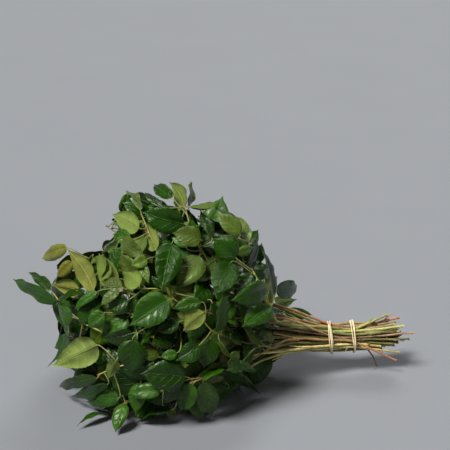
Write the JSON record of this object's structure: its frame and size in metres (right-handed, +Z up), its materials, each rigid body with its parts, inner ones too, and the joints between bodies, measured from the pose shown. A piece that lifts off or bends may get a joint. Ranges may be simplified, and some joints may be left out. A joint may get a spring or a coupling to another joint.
{
  "type": "tied salal bunch",
  "caption": "Bunch of leafy salal stems lying on its side: a broad head of pointed evergreen leaves, its bare stems held together by cream rubber bands.",
  "frame": {"origin": "under the middle of the bunch's bounding box, on the surface that it lies on", "axes": "+X from the leafy head towards the cut ends of the stems, along the bunch's longest extent; +Z up; +Y away from the side that the picture shows"},
  "size_m": [0.7332, 0.467, 0.3595],
  "materials": {
    "salal_leaf": "waxy leaf: glossy dark green above, paler and matte below, on woody stems",
    "salal_bark": "satin bark, yellow green to reddish brown",
    "cream_rubber": "matte cream rubber"
  },
  "bodies": {
    "root": {"leafy_stem_01": "salal_leaf", "leafy_stem_02": "salal_leaf", "leafy_stem_03": "salal_leaf", "leafy_stem_04": "salal_leaf", "leafy_stem_05": "salal_leaf", "leafy_stem_06": "salal_leaf", "leafy_stem_07": "salal_leaf", "leafy_stem_08": "salal_leaf", "leafy_stem_09": "salal_leaf", "leafy_stem_10": "salal_leaf", "leafy_stem_11": "salal_leaf", "leafy_stem_12": "salal_leaf", "leafy_stem_13": "salal_leaf", "leafy_stem_14": "salal_leaf", "leafy_stem_15": "salal_leaf", "leafy_stem_16": "salal_leaf", "leafy_stem_17": "salal_leaf", "leafy_stem_18": "salal_leaf", "leafy_stem_19": "salal_leaf", "leafy_stem_20": "salal_leaf", "leafy_stem_21": "salal_leaf", "leafy_stem_22": "salal_leaf", "leafy_stem_23": "salal_leaf", "leafy_stem_24": "salal_leaf", "leafy_stem_25": "salal_leaf", "leafy_stem_26": "salal_leaf", "leafy_stem_27": "salal_leaf", "leafy_stem_28": "salal_leaf", "leafy_stem_29": "salal_leaf", "leafy_stem_30": "salal_leaf", "leafy_stem_31": "salal_leaf", "leafy_stem_32": "salal_leaf", "leafy_stem_33": "salal_leaf", "leafy_stem_34": "salal_leaf", "leafy_stem_35": "salal_leaf", "leafy_stem_36": "salal_leaf", "leafy_stem_37": "salal_leaf", "leafy_stem_38": "salal_leaf", "leafy_stem_39": "salal_leaf", "leafy_stem_40": "salal_leaf", "leafy_stem_41": "salal_leaf", "leafy_stem_42": "salal_leaf", "leafy_stem_43": "salal_leaf", "leafy_stem_44": "salal_leaf", "leafy_stem_45": "salal_leaf", "leafy_stem_46": "salal_leaf", "leafy_stem_47": "salal_leaf", "leafy_stem_48": "salal_leaf", "leafy_stem_49": "salal_leaf", "leafy_stem_50": "salal_leaf", "leafy_stem_51": "salal_leaf", "leafy_stem_52": "salal_leaf", "leafy_stem_53": "salal_leaf", "leafy_stem_54": "salal_leaf", "leafy_stem_55": "salal_leaf", "leafy_stem_56": "salal_leaf", "rubber_band_1": "cream_rubber", "rubber_band_2": "cream_rubber"}
  },
  "joints": []
}
